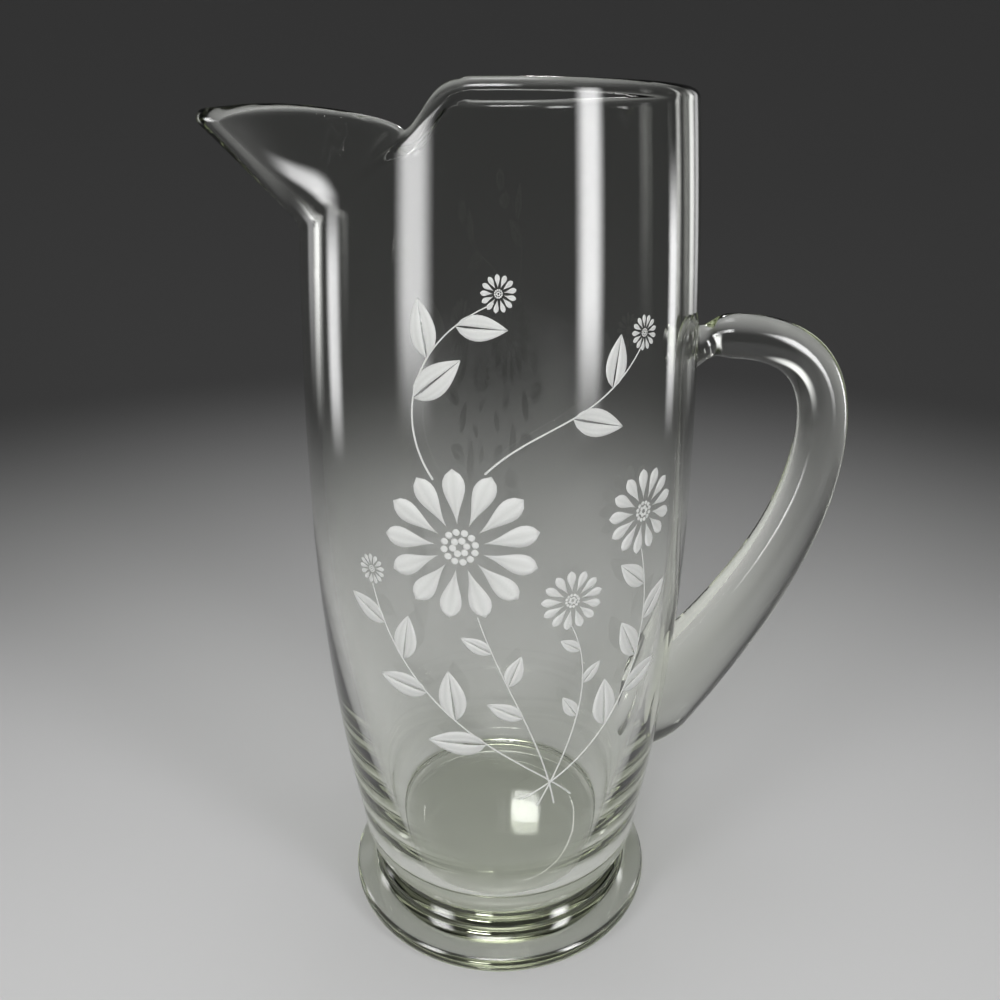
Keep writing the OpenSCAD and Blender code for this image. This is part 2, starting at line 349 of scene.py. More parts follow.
def node(tree, kind, inputs=None, **settings):
    """Adds a node with its settings, and sets or links its inputs."""
    new = tree.nodes.new(kind)
    for name, value in settings.items():
        setattr(new, name, value)
    for key, value in (inputs or {}).items():
        if isinstance(value, bpy.types.NodeSocket):
            tree.links.new(value, socket(new.inputs, key))
        else:
            socket(new.inputs, key).default_value = value
    return new


def calc(tree, operation, *values):
    return node(tree, "ShaderNodeMath", dict(enumerate(values)), operation=operation).outputs[0]


def weighed(tree, a, a_share, b, b_share):
    """The sum of two values, each times its share."""
    return calc(tree, "ADD", calc(tree, "MULTIPLY", a, a_share), calc(tree, "MULTIPLY", b, b_share))


def split(tree, whole):
    """The X, Y and Z of a vector."""
    return node(tree, "ShaderNodeSeparateXYZ", {0: whole}).outputs


def vector(tree, x=0.0, y=0.0, z=0.0):
    return node(tree, "ShaderNodeCombineXYZ", {0: x, 1: y, 2: z}).outputs[0]


def blend(tree, share, a, b):
    """A colour between two, which are given as red, green and blue."""
    ends = {"Factor": share, "A": (*a, 1), "B": (*b, 1)}
    return node(tree, "ShaderNodeMix", ends, data_type="RGBA").outputs[2]


def shape_tree(name, inputs):
    """A Geometry Nodes tree with a geometry input and named sizes. Gives it, its inputs and its output node."""
    tree = bpy.data.node_groups.new(name, "GeometryNodeTree")
    tree.interface.new_socket("Geometry", in_out="INPUT", socket_type="NodeSocketGeometry")
    for label, kind in inputs:
        tree.interface.new_socket(label, in_out="INPUT", socket_type="NodeSocket" + kind)
    tree.interface.new_socket("Geometry", in_out="OUTPUT", socket_type="NodeSocketGeometry")
    return tree, tree.nodes.new("NodeGroupInput").outputs, tree.nodes.new("NodeGroupOutput")


def finish_tree(tree, shape, material, out):
    whole = node(tree, "GeometryNodeRealizeInstances", {"Geometry": shape})
    smooth = node(tree, "GeometryNodeSetShadeSmooth", {"Geometry": whole.outputs[0]})
    painted = node(tree, "GeometryNodeSetMaterial", {"Geometry": smooth.outputs[0], "Material": material})
    tree.links.new(painted.outputs[0], out.inputs[0])


def grow(name, seed_mesh, tree, **sizes):
    """Runs a tree on a mesh and keeps the result as a plain mesh object."""
    seed = add_object(name + "_seed", seed_mesh)
    modifier = seed.modifiers.new(name, "NODES")
    modifier.node_group = tree
    labels = {item.name: item.identifier for item in tree.interface.items_tree if item.in_out == "INPUT"}
    for label, value in sizes.items():
        modifier[labels[label.replace("_", " ")]] = value
    return bake(name, seed)


def bake(name, source):
    """A plain mesh object of a source with modifiers, which is then removed."""
    bpy.context.view_layer.update()
    ready = source.evaluated_get(bpy.context.evaluated_depsgraph_get())
    mesh = bpy.data.meshes.new_from_object(ready)
    mesh.name = name
    bpy.data.objects.remove(source)
    return add_object(name, mesh)


def line_mesh(name, points, **values):
    """A mesh of joined points, with named values on them."""
    mesh = bpy.data.meshes.new(name)
    mesh.from_pydata([tuple(p) for p in points], [(i, i + 1) for i in range(len(points) - 1)], [])
    for label, data in values.items():
        data = np.asarray(data, float)
        kind, field = ("FLOAT_VECTOR", "vector") if data.ndim == 2 else ("FLOAT", "value")
        mesh.attributes.new(label, kind, "POINT").data.foreach_set(field, data.ravel())
    return mesh


def ring_grid(tree, line, sides):
    """A grid with a row for each point of a line. Gives the grid, the row and the turn in radians."""
    size = node(tree, "GeometryNodeAttributeDomainSize", {"Geometry": line}, component="MESH")
    count = size.outputs["Point Count"]
    columns = calc(tree, "ADD", sides, 1.0)
    grid = node(tree, "GeometryNodeMeshGrid", {"Vertices X": columns, "Vertices Y": count}).outputs[0]
    index = node(tree, "GeometryNodeInputIndex").outputs[0]
    row = calc(tree, "FLOORED_MODULO", index, count)
    column = calc(tree, "FLOOR", calc(tree, "DIVIDE", calc(tree, "ADD", index, 0.5), count))
    turn = calc(tree, "MULTIPLY", calc(tree, "DIVIDE", column, sides), 2 * math.pi)
    return grid, row, turn


def row_value(tree, line, row, label, kind):
    """A named value of the line's point in the same row."""
    if label == "position":
        value = node(tree, "GeometryNodeInputPosition").outputs[0]
    else:
        value = node(tree, "GeometryNodeInputNamedAttribute", {"Name": label}, data_type=kind).outputs[0]
    return node(tree, "GeometryNodeSampleIndex", {"Geometry": line, "Value": value, "Index": row},
                data_type=kind, domain="POINT").outputs[0]


def close_seams(tree, grid, place):
    moved = node(tree, "GeometryNodeSetPosition", {"Geometry": grid, "Position": place}).outputs[0]
    return node(tree, "GeometryNodeMergeByDistance", {"Geometry": moved, "Distance": SEAM_GAP}).outputs[0]


def lathe_tree():
    """Turns an outline in the XZ plane about the Z axis."""
    tree, given, out = shape_tree("turned_on_the_axis", [("Sides", "Int"), ("Material", "Material")])
    line = given["Geometry"]
    grid, row, turn = ring_grid(tree, line, given["Sides"])
    at = split(tree, row_value(tree, line, row, "position", "FLOAT_VECTOR"))
    x = calc(tree, "MULTIPLY", at[0], calc(tree, "COSINE", turn))
    y = calc(tree, "MULTIPLY", at[0], calc(tree, "SINE", turn))
    place = vector(tree, x, y, at[2])
    finish_tree(tree, close_seams(tree, grid, place), given["Material"], out)
    return tree


def rod_tree():
    """Draws a rod of oval section along a line in the XZ plane."""
    tree, given, out = shape_tree("drawn_rod", [("Sides", "Int"), ("Material", "Material")])
    line = given["Geometry"]
    grid, row, turn = ring_grid(tree, line, given["Sides"])
    middle = row_value(tree, line, row, "position", "FLOAT_VECTOR")
    deep = calc(tree, "MULTIPLY", row_value(tree, line, row, "deep", "FLOAT"), calc(tree, "COSINE", turn))
    wide = calc(tree, "MULTIPLY", row_value(tree, line, row, "wide", "FLOAT"), calc(tree, "SINE", turn))
    side = row_value(tree, line, row, "side", "FLOAT_VECTOR")
    across = node(tree, "ShaderNodeVectorMath", {0: side, "Scale": deep}, operation="SCALE").outputs[0]
    place = node(tree, "ShaderNodeVectorMath", {0: middle, 1: across}, operation="ADD").outputs[0]
    place = node(tree, "ShaderNodeVectorMath", {0: place, 1: vector(tree, y=wide)}, operation="ADD").outputs[0]
    finish_tree(tree, close_seams(tree, grid, place), given["Material"], out)
    return tree


# Materials

def new_material(name):
    material = bpy.data.materials.new(name)
    material.use_nodes = True
    material.node_tree.nodes.clear()
    return material, material.node_tree


def shader_group(name, inputs, outputs):
    tree = bpy.data.node_groups.new(name, "ShaderNodeTree")
    for label, value in inputs:
        given = tree.interface.new_socket(label, in_out="INPUT", socket_type="NodeSocketFloat")
        given.default_value = value
    for label, kind in outputs:
        tree.interface.new_socket(label, in_out="OUTPUT", socket_type="NodeSocket" + kind)
    return tree, tree.nodes.new("NodeGroupInput").outputs, tree.nodes.new("NodeGroupOutput")


def blown_glass_marks():
    """What hand work leaves in glass: a slow ripple, a light haze from washing, and more tint low down,
    where the glass is thick."""
    tree, given, out = shader_group(
        "blown_glass_marks",
        [("Ripple size", 30.0), ("Haze", 0.02), ("Thick below", 0.03)],
        [("Tint", "Color"), ("Roughness", "Float"), ("Ripple", "Float")])
    place = node(tree, "ShaderNodeTexCoord").outputs["Object"]
    drawn = node(tree, "ShaderNodeMapping", {"Vector": place, "Scale": (1.0, 1.0, 0.35)}).outputs[0]
    ripple = node(tree, "ShaderNodeTexNoise", {
        "Vector": drawn, "Scale": given["Ripple size"], "Detail": 1.0}).outputs[0]
    smears = node(tree, "ShaderNodeTexNoise", {"Vector": place, "Scale": 55.0, "Detail": 4.0}).outputs[0]
    spread = node(tree, "ShaderNodeMapRange", {
        "Value": smears, "From Min": 0.45, "From Max": 0.8}).outputs[0]
    thick = node(tree, "ShaderNodeMapRange", {
        "Value": split(tree, place)[2], "From Min": 0.0, "From Max": given["Thick below"],
        "To Min": 1.0, "To Max": 0.0}).outputs[0]
    cloudy = calc(tree, "MULTIPLY", thick, calc(tree, "ADD", 0.75, calc(tree, "MULTIPLY", ripple, 0.5)))
    tree.links.new(blend(tree, cloudy, (0.99, 0.995, 0.985), (0.98, 0.99, 0.965)), out.inputs["Tint"])
    tree.links.new(calc(tree, "MULTIPLY", spread, given["Haze"]), out.inputs["Roughness"])
    tree.links.new(ripple, out.inputs["Ripple"])
    return tree


def clear_glass(marks):
    """Clear glass with a tint that deepens with its thickness. The light of lamps passes straight through it,
    less where the glass is seen edge on, and fused faces don't show."""
    material, tree = new_material("clear_glass")
    group = node(tree, "ShaderNodeGroup", {"Thick below": 0.05}, node_tree=marks).outputs
    bump = node(tree, "ShaderNodeBump", {
        "Strength": 0.12, "Distance": 0.6 * MM, "Height": group["Ripple"]}).outputs[0]
    glass = node(tree, "ShaderNodeBsdfPrincipled", {
        "Base Color": group["Tint"], "Roughness": group["Roughness"], "IOR": 1.52,
        "Transmission Weight": 1.0, "Normal": bump})
    facing = node(tree, "ShaderNodeLayerWeight", {"Blend": 0.35}).outputs["Facing"]
    dimmed = blend(tree, facing, (0.95, 0.955, 0.945), (0.35, 0.36, 0.34))
    passing = node(tree, "ShaderNodeBsdfTransparent", {"Color": dimmed})
    path = node(tree, "ShaderNodeLightPath")
    lamp_light = calc(tree, "MAXIMUM", path.outputs["Is Shadow Ray"], path.outputs["Is Diffuse Ray"])
    lit = node(tree, "ShaderNodeMixShader", {0: lamp_light, 1: glass.outputs[0], 2: passing.outputs[0]})
    fused = node(tree, "ShaderNodeAttribute", attribute_name="fused").outputs["Fac"]
    run_together = node(tree, "ShaderNodeBsdfTransparent")
    whole = node(tree, "ShaderNodeMixShader", {0: fused, 1: lit.outputs[0], 2: run_together.outputs[0]})
    depth = node(tree, "ShaderNodeVolumeAbsorption", {"Color": (0.9, 0.985, 0.6, 1), "Density": 6.0})
    node(tree, "ShaderNodeOutputMaterial", {"Surface": whole.outputs[0], "Volume": depth.outputs[0]})
    return material


def stage_with_painted_light_pool():
    """Paper that is pale under the object and grey on the walls. The change between them is a painted pool of
    light, whose tone falls off from pale round the object to dark grey.
    """
    material, tree = new_material("stage_paper_painted_light_pool")
    place = node(tree, "ShaderNodeTexCoord").outputs["Object"]
    at = split(tree, place)
    flat = vector(tree, at[0], at[1])
    away = node(tree, "ShaderNodeVectorMath", {0: flat}, operation="LENGTH").outputs["Value"]
    far = node(tree, "ShaderNodeMapRange", {
        "Value": away, "From Min": 0.08, "From Max": 0.75}, interpolation_type="SMOOTHSTEP").outputs[0]
    # Painted pool of light: the paper's tone fades from pale near the object to dark grey further out
    tone = blend(tree, far, (0.62, 0.62, 0.62), (0.12, 0.12, 0.12))
    paper = node(tree, "ShaderNodeBsdfPrincipled", {"Base Color": tone, "Roughness": 0.9})
    node(tree, "ShaderNodeOutputMaterial", {"Surface": paper.outputs[0]})
    return material


def wheel_marks_and_painted_shade():
    """Fine strokes that a cutting wheel leaves along a blade, and painted shade that darkens the blade down its
    middle and at its root, where the cut is deepest. They follow the blade's own UV map."""
    tree, given, out = shader_group(
        "wheel_marks_and_painted_shade", [("Strokes", 9.0), ("Slant", 2.2)], [("Tone and painted shade", "Float"), ("Height", "Float")])
    maps = node(tree, "ShaderNodeTexCoord").outputs
    uv = split(tree, maps["UV"])
    run = calc(tree, "ADD", uv[0], calc(tree, "DIVIDE", uv[1], given["Slant"]))
    place = vector(tree, run, calc(tree, "MULTIPLY", uv[1], 0.15))
    strokes = node(tree, "ShaderNodeTexWave", {
        "Vector": place, "Scale": given["Strokes"], "Distortion": 1.2, "Detail": 2.0}).outputs["Fac"]
    grit = node(tree, "ShaderNodeTexNoise", {
        "Vector": maps["Object"], "Scale": 2200.0, "Detail": 2.0}).outputs[0]
    off_middle = calc(tree, "ABSOLUTE", calc(tree, "SUBTRACT", calc(tree, "MULTIPLY", uv[1], 2.0), 1.0))
    # Painted shade: the tone is darker down the blade's middle and towards its root
    painted_scoop_shade = weighed(tree, off_middle, 0.35, uv[0], 0.25)
    worked = weighed(tree, strokes, 0.2, grit, 0.2)
    tree.links.new(calc(tree, "ADD", painted_scoop_shade, worked), out.inputs["Tone and painted shade"])
    tree.links.new(weighed(tree, strokes, 0.6, grit, 0.4), out.inputs["Height"])
    return tree


def cut_frost():
    """Ground glass: white from its own grit, with some light passing through. Its tone carries painted shade,
    darker down each blade's middle and at its root.
    """
    material, tree = new_material("cut_frost")
    marks = node(tree, "ShaderNodeGroup", node_tree=wheel_marks_and_painted_shade()).outputs
    # The darker end of this tone is reached where the wheel marks carry painted shade
    tone = blend(tree, marks["Tone and painted shade"], (0.5, 0.51, 0.49), (0.92, 0.925, 0.91))
    rough = node(tree, "ShaderNodeMapRange", {
        "Value": marks["Tone and painted shade"], "To Min": 0.42, "To Max": 0.6}).outputs[0]
    bump = node(tree, "ShaderNodeBump", {
        "Strength": 0.35, "Distance": 0.2 * MM, "Height": marks["Height"]}).outputs[0]
    frost = node(tree, "ShaderNodeBsdfPrincipled", {
        "Base Color": tone, "Roughness": rough, "IOR": 1.5, "Transmission Weight": 0.3, "Normal": bump})
    node(tree, "ShaderNodeOutputMaterial", {"Surface": frost.outputs[0]})
    return material


GLASS = clear_glass(blown_glass_marks())
LATHE = lathe_tree()
ROD = rod_tree()


def outward(piece):
    """Turns every face of a closed piece outwards, with doubles merged and points that only two edges meet at
    dropped."""
    shape = bmesh.new()
    shape.from_mesh(piece.data)
    bmesh.ops.remove_doubles(shape, verts=shape.verts, dist=DOUBLES_WITHIN)
    bmesh.ops.dissolve_degenerate(shape, edges=shape.edges, dist=SLIVERS_WITHIN)
    idle = [corner for corner in shape.verts if len(corner.link_edges) == 2]
    bmesh.ops.dissolve_verts(shape, verts=idle)
    bmesh.ops.recalc_face_normals(shape, faces=shape.faces)
    shape.to_mesh(piece.data)
    shape.free()


def dress(piece, is_seal):
    """Makes a piece clear glass, with its faces marked as fused where is_seal says so of their middles."""
    mesh = piece.data
    mesh.materials.clear()
    mesh.materials.append(GLASS)
    middles = np.zeros(len(mesh.polygons) * 3)
    mesh.polygons.foreach_get("center", middles)
    seal = is_seal(middles.reshape(-1, 3))
    mesh.attributes.new("fused", "FLOAT", "FACE").data.foreach_set("value", seal.astype(float))
    mesh.polygons.foreach_set("material_index", np.zeros(len(mesh.polygons), np.int32))
    mesh.polygons.foreach_set("use_smooth", np.ones(len(mesh.polygons), bool))
    mesh.set_sharp_from_angle(angle=SHARP_TURN)
    mesh.update()


def cut_away(name, piece, tool):
    """The piece without the tool's solid."""
    modifier = piece.modifiers.new("cut", "BOOLEAN")
    modifier.operation = "DIFFERENCE"
    modifier.solver = "MANIFOLD"
    modifier.object = tool
    cut = bake(name, piece)
    outward(cut)
    return cut


def run_along(points):
    """How far each point lies along the line through them all."""
    return np.concatenate([[0], np.cumsum(np.linalg.norm(np.diff(points, axis=0), axis=1))])


def foot_outline():
    """The foot from the middle of its underside round its edge, up the flare, to the seat's middle."""
    bends = np.linspace(-math.pi / 2, EDGE_TURN, EDGE_POINTS)
    edge = np.stack([FOOT_R - EDGE_R + EDGE_R * np.cos(bends), EDGE_R + EDGE_R * np.sin(bends)], -1)
    t = np.linspace(0, 1, FLARE_POINTS)[1:, None]
    hollow = np.hstack([FLARE_DEPTH * np.sin(math.pi * t), 0 * t])
    flare = edge[-1] + ([SEAT_R, FOOT_H] - edge[-1]) * t - hollow
    sides = np.concatenate([edge, flare])
    runs = run_along(sides)
    even = np.append(np.arange(0, runs[-1], OUTLINE_STEP), runs[-1])
    fine = [np.interp(even, runs, sides[:, k]) for k in (0, 1)]
    eased = np.stack([soften(values, OUTLINE_EASE) for values in fine], -1)
    top = FOOT_H + SEAL_OVERLAP
    outline = np.concatenate([[[0, 0]], eased, [[SEAT_R - 2 * SEAL_OVERLAP, top], [0, top]]])
    return np.stack([outline[:, 0], 0 * outline[:, 0], outline[:, 1]], -1)


def rod_line():
    """The rod's middle line, with its half depth and half width and the direction across it at each point.
    The rod is necked beside its upper seal, and rises from a dip there."""
    start = np.array([turned_radius(UPPER_SEAL) - UPPER_RUN_IN, UPPER_SEAL])
    bend = np.array([HANDLE_REACH, HANDLE_BEND])
    low = np.array([turned_radius(LOWER_SEAL), LOWER_SEAL])
    way = np.array([-math.cos(LOWER_ANGLE), -math.sin(LOWER_ANGLE)])
    upper_pull = UPPER_PULL_SHARE * (HANDLE_REACH - start[0])
    bend_pull = BEND_PULL_SHARE * (UPPER_SEAL - HANDLE_BEND)
    lower_pull = LOWER_PULL_SHARE * (HANDLE_BEND - LOWER_SEAL)
    t = np.linspace(0, 1, ROD_STEPS + 1)
    points = np.concatenate([
        cubic([start, start + [upper_pull, ROD_RISE], bend + [0, bend_pull], bend], t),
        cubic([bend, bend - [0, lower_pull], low - lower_pull * way, low], t)[1:],
        low + np.linspace(0, LOWER_RUN_IN, TAIL_STEPS)[1:, None] * way])
    run = run_along(points)
    whole = run[-1] - LOWER_RUN_IN
    from_wall = run - UPPER_RUN_IN
    swell = (SEAL_D - ROD_TOP_D) * (1 - smooth_step(from_wall / SEAL_LENGTH))
    rounding = np.cos(TAIL_TURN * np.clip(run - whole, 0, None) / LOWER_RUN_IN)
    neck = swell_round((from_wall - NECK_RUN) / NECK_LENGTH)

    def half(low_d):
        plain = ROD_TOP_D + (low_d - ROD_TOP_D) * np.minimum(1, run / whole) ** ROD_GROWTH
        return (plain + swell) / 2 * rounding * (1 - NECK_SHARE * neck)

    points[:, 1] -= NECK_DIP * (1 - smooth_step(from_wall / (NECK_RUN + NECK_LENGTH)))
    ways = unit(np.gradient(points, axis=0))
    side = np.stack([-ways[:, 1], 0 * run, ways[:, 0]], -1)
    middle = np.stack([points[:, 0], 0 * run, points[:, 1] + FOOT_H], -1)
    ends = np.array([0] + list(range(len(run))) + [len(run) - 1])
    deep, wide = half(ROD_LOW_D)[ends], half(ROD_LOW_W)[ends]
    deep[[0, -1]] = wide[[0, -1]] = 0
    return middle[ends], deep, wide, side[ends]


def barrel_core(depth):
    """The barrel's outside, sunk by a depth, as an outline of a solid to cut the rod with."""
    z = np.linspace(HEEL_RISE, TURNED_H, CORE_ROWS)
    r = turned_radius(z) - depth
    outline = [(0, 0, z[0])] + [(a, 0, b) for a, b in zip(r, z)] + [(0, 0, z[-1])]
    return [(x, y, height + FOOT_H) for x, y, height in outline]


def make_rod(name, depth):
    """The handle's rod, let into the barrel's wall by a depth at its two seals."""
    middle, deep, wide, side = rod_line()
    rod = grow("rod", line_mesh("rod_line", middle, deep=deep, wide=wide, side=side), ROD,
               Sides=ROD_SIDES, Material=GLASS)
    outward(rod)
    core = grow("core", line_mesh("core_outline", barrel_core(depth)), LATHE,
                Sides=2 * FOOT_SIDES, Material=GLASS)
    outward(core)
    cut = cut_away(name, rod, core)
    bpy.data.objects.remove(core)
    return cut


def on_rod_seal(p, depth):
    """Which points lie on the faces of the rod's seals, at a depth in the barrel's wall."""
    away = np.hypot(p[:, 0], p[:, 1]) - turned_radius(p[:, 2] - FOOT_H) + depth
    return (np.abs(away) < SEAL_OVERLAP) & (p[:, 0] > SEALS_BEYOND)


def make_glass():
    foot = grow("glass_foot", line_mesh("foot_outline", foot_outline()), LATHE,
                Sides=FOOT_SIDES, Material=GLASS)
    outward(foot)
    dress(foot, lambda p: p[:, 2] > FOOT_H + 0.9 * SEAL_OVERLAP)

    handle = make_rod("glass_handle", SEAL_DEPTH + SEAL_OVERLAP)
    dress(handle, lambda p: on_rod_seal(p, SEAL_DEPTH + SEAL_OVERLAP))

    rows = [ring + [0, 0, FOOT_H] for ring in vessel_rows()]
    shell = skin_over("shell", rows, (0, 0, FOOT_H), (0, 0, FOOT_H + FLOOR_T))
    outward(shell)
    seat = make_rod("seat", SEAL_DEPTH)
    vessel = cut_away("glass_vessel", shell, seat)
    bpy.data.objects.remove(seat)
    dress(vessel, lambda p: on_rod_seal(p, SEAL_DEPTH) | (p[:, 2] < FOOT_H + 0.1 * SEAL_OVERLAP))
    return vessel, foot, handle


vessel, foot, handle = make_glass()
for piece, name in ((vessel, "vessel"), (foot, "foot"), (handle, "handle")):
    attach(piece, "root")
    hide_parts(name)


# The wheel-cut spray on the barrel's front. It is laid out flat, with X along the wall from the front and Y the
# height above the table.

FRONT = math.pi / 2
CUT_DEPTH = 0.04 * MM
CUT_SINK = 0.02 * MM

# Corners of each stem's curve and the length of its leaves, in millimetres
STEMS = [
    ([(16, 66), (0, 84), (-30, 94), (-38, 128)], 19),
    ([(1, 67), (26, 80), (42, 104), (33, 136)], 18),
    ([(11, 64), (6, 88), (-4, 104), (-10, 124)], 13),
    ([(-20, 158), (-30, 172), (-24, 190), (-6, 197)], 17),
    ([(-8, 160), (4, 172), (18, 170), (30, 186)], 17),
    ([(6, 64), (18, 90), (20, 108), (12, 122)], 10),
]
STEM_WIDTH = 0.55 * MM
STEM_TAPER = 0.5
STEM_POINTS, STEM_ROWS, STEM_SIDES = 40, 48, 8
LEAF_SPACING = 9.5 * MM
LEAF_WIDTH_SHARE = 0.48
LEAF_SPREAD = math.radians(42)
FIRST_LEAF, LAST_LEAF = 0.36, 0.9
LEAF_SHRINK = 0.4

# Places and sizes of the daisies and the buds, in millimetres
DAISIES = [((-14, 142), 19), ((33, 146), 11), ((13, 127), 8)]
BUDS = [(-5, 199), (31, 189), (-38, 132)]
BUD_SIZE = 4
PETALS, PETAL_WIDTH = 13, 0.36
EYE_SHARE, DOT_SHARE = 0.3, 0.1
DOTS, INNER_DOTS = 12, 6
DOT_RING, INNER_RING = 0.66, 0.3
DAISY_TURN = 0.2

# The form of one blade, a leaf or a petal, in shares of its length and width
BLADE_STEPS, BLADE_LANES = 10, 3
BLADE_DOUBLES = 1e-6
LOBE_GAP = 0.004
LEAF_RIB = 0.05
RIB_OPENS, END_SLOPE = 6, 5
DOME_EDGE = 0.08


def leaf_half(x):
    """Half a leaf's width along its length."""
    return 0.5 * math.sin(math.pi * x ** 0.8) ** 0.9


def petal_half(x):
    return 0.5 * max(0, math.sin(math.pi * x ** 1.5)) ** 0.75 * (0.35 + 0.65 * x)


def blade_mesh(name, half_width, sides, rib):
    """A thin pointed blade from X = 0 to 1, domed by the depth of the cut. It has one lobe, or two beside a
    bare rib."""
    steps, lanes = BLADE_STEPS, BLADE_LANES
    shape = bmesh.new()
    marks = shape.loops.layers.uv.new("UVMap")
    for side in sides:
        rows = []
        for k in range(steps + 1):
            x = k / steps
            outer = half_width(x)
            inner = max(LOBE_GAP, rib * (1 - x) * min(1, RIB_OPENS * x)) if len(sides) == 2 else -outer
            ends = min(1, END_SLOPE * x, END_SLOPE * (1 - x))
            row = []
            for lane in range(lanes + 1):
                t = lane / lanes
                y = side * (inner + (max(outer, inner) - inner) * t)
                dome = CUT_DEPTH * math.sin(math.pi * (DOME_EDGE + (1 - 2 * DOME_EDGE) * t)) * ends
                row.append((shape.verts.new((x, y, dome)), shape.verts.new((x, y, -CUT_SINK)), t))
            rows.append(row)
        for k in range(steps):
            for lane in range(lanes):
                for layer in (0, 1):
                    quad = [rows[k][lane], rows[k + 1][lane], rows[k + 1][lane + 1], rows[k][lane + 1]]
                    face = shape.faces.new([corner[layer] for corner in quad])
                    for loop, corner in zip(face.loops, quad):
                        loop[marks].uv = (loop.vert.co.x, corner[2])
            for lane in (0, lanes):
                here, there = rows[k][lane], rows[k + 1][lane]
                shape.faces.new([here[0], here[1], there[1], there[0]])
        for k in (0, steps):
            for lane in range(lanes):
                here, there = rows[k][lane], rows[k][lane + 1]
                shape.faces.new([here[0], here[1], there[1], there[0]])
    bmesh.ops.remove_doubles(shape, verts=shape.verts, dist=BLADE_DOUBLES)
    bmesh.ops.dissolve_degenerate(shape, edges=shape.edges, dist=BLADE_DOUBLES)
    bmesh.ops.recalc_face_normals(shape, faces=shape.faces)
    mesh = bpy.data.meshes.new(name)
    shape.to_mesh(mesh)
    shape.free()
    return add_object(name, mesh)


def dot_mesh(name):
    """A small round cut, one unit across."""
    shape = bmesh.new()
    shape.loops.layers.uv.new("UVMap")
    bmesh.ops.create_uvsphere(shape, u_segments=10, v_segments=5, radius=0.5)
    for corner in shape.verts:
        corner.co.z *= 2 * CUT_DEPTH
    mesh = bpy.data.meshes.new(name)
    shape.to_mesh(mesh)
    shape.free()
    return add_object(name, mesh)


BARREL_INPUTS = [
    ("Belly radius", "Float"), ("Belly height", "Float"), ("Lower bow", "Float"), ("Upper bow", "Float"),
    ("Material", "Material")]
BARREL_SIZES = dict(
    Belly_radius=BELLY_R, Belly_height=FOOT_H + BELLY_RISE,
    Lower_bow=(BELLY_R - HEEL_R) / (BELLY_RISE - HEEL_RISE) ** 2,
    Upper_bow=(BELLY_R - RIM_R) / (BODY_H - BELLY_RISE) ** 2)


def lay_on_barrel(tree, given, shape):
    """Bends a flat shape round the barrel's front: X runs along the wall, Y is its height and Z stands out."""
    whole = node(tree, "GeometryNodeRealizeInstances", {"Geometry": shape}).outputs[0]
    at = split(tree, node(tree, "GeometryNodeInputPosition").outputs[0])
    away = calc(tree, "SUBTRACT", at[1], given["Belly height"])
    above = calc(tree, "GREATER_THAN", away, 0.0)
    slope = calc(tree, "ADD", given["Lower bow"], calc(
        tree, "MULTIPLY", above, calc(tree, "SUBTRACT", given["Upper bow"], given["Lower bow"])))
    drawn_in = calc(tree, "MULTIPLY", slope, calc(tree, "MULTIPLY", away, away))
    r = calc(tree, "ADD", calc(tree, "SUBTRACT", given["Belly radius"], drawn_in), at[2])
    turn = calc(tree, "ADD", FRONT, calc(tree, "DIVIDE", at[0], given["Belly radius"]))
    minus_r = calc(tree, "MULTIPLY", r, -1.0)
    x = calc(tree, "MULTIPLY", minus_r, calc(tree, "COSINE", turn))
    y = calc(tree, "MULTIPLY", minus_r, calc(tree, "SINE", turn))
    place = vector(tree, x, y, at[1])
    return node(tree, "GeometryNodeSetPosition", {"Geometry": whole, "Position": place}).outputs[0]


def copies(tree, points, shape, turn, scale, chosen=True):
    """Copies of a shape on points, each turned in the plane and scaled."""
    spin = node(tree, "FunctionNodeEulerToRotation", {0: vector(tree, z=turn)}).outputs[0]
    return node(tree, "GeometryNodeInstanceOnPoints", {
        "Points": points, "Instance": shape, "Rotation": spin, "Scale": scale,
        "Selection": chosen}).outputs[0]


def shape_of(tree, thing):
    return node(tree, "GeometryNodeObjectInfo", {"Object": thing}).outputs["Geometry"]


